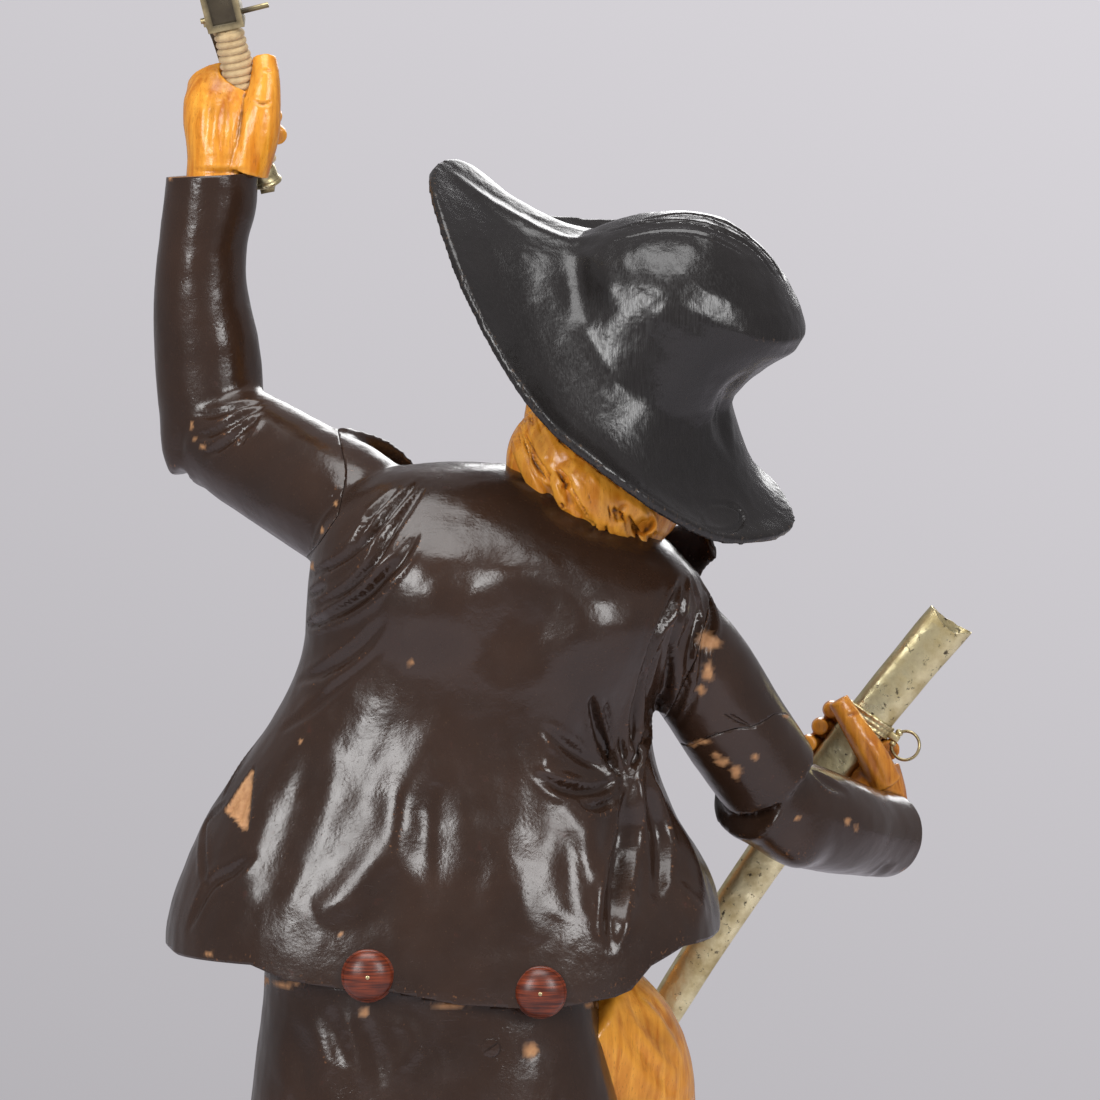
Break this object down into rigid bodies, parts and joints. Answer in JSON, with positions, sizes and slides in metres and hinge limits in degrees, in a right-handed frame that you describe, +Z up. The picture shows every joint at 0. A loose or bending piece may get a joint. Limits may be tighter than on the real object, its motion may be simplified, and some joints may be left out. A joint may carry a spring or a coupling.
{
  "type": "carved wooden statue of a freedom fighter with a raised sabre",
  "caption": "Standing man in a tricorn hat and open jacket, carved in dark and honey woods, one foot on a rock, a sabre raised and its scabbard in the other hand.",
  "frame": {"origin": "middle of the base's underside, on the surface that the statue stands on", "axes": "+X to the figure's left, -Y the way the figure faces, +Z up"},
  "size_m": [0.3651, 0.28, 1.0655],
  "materials": {
    "Jacket": "glossy dark lacquer",
    "Base": "dark lacquer",
    "Hat": "near-black brushed lacquer",
    "LightWood": "varnished honey wood",
    "RedWood": "polished red-brown wood",
    "Brass": "aged, spotted",
    "Steel": "aged grey",
    "Cord": "coarse jute winding"
  },
  "bodies": {
    "root": {"jacket": "Jacket", "arm_left": "Jacket", "arm_right": "Jacket", "coat_tails": "Jacket", "base": "Base", "shoe_left": "Jacket", "shoe_right": "Jacket", "hat": "Hat", "head": "LightWood", "shirt": "LightWood", "hand_left": "LightWood", "hand_right": "LightWood", "breeches": "LightWood", "leg_left": "LightWood", "leg_right": "LightWood", "button_left": "RedWood", "button_right": "RedWood", "sword_grip": "Cord", "sword_pommel": "Steel", "sword_guard": "Steel", "sword_blade": "Steel", "scabbard": "Brass", "scabbard_band": "Brass", "scabbard_ring": "Steel"}
  },
  "joints": []
}
